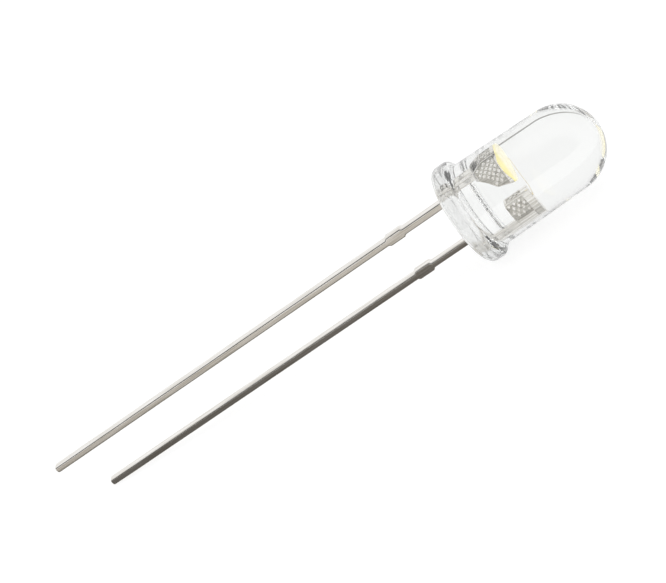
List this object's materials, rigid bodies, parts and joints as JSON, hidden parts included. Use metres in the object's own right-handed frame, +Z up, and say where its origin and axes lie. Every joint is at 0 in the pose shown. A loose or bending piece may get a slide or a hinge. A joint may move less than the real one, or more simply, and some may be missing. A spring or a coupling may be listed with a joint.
{
  "type": "through hole led",
  "caption": "Clear round through hole LED with a domed lens, a flange with a cathode flat, a yellow phosphor layer on its anvil and long tinned leads.",
  "frame": {"origin": "on the surface the lamp lies on, under the centre of its bounding box", "axes": "+X along the lamp towards the dome, +Z up; the lamp lies on its flange flat and cathode tip with both leads in the XZ plane, the anode lead above"},
  "size_m": [0.036, 0.0058, 0.0054],
  "materials": {
    "clear_epoxy": "gloss",
    "tinned_steel": "satin",
    "phosphor": "matte",
    "chip": "gloss",
    "clear_adhesive": "gloss",
    "gold_wire": "polished"
  },
  "bodies": {
    "root": {"lens_body": "clear_epoxy", "anode_lead": "tinned_steel", "cathode_lead": "tinned_steel", "phosphor_fill": "phosphor", "led_die": "chip", "die_bond": "clear_adhesive", "anode_bond_wire": "gold_wire", "cathode_bond_wire": "gold_wire"}
  },
  "joints": []
}
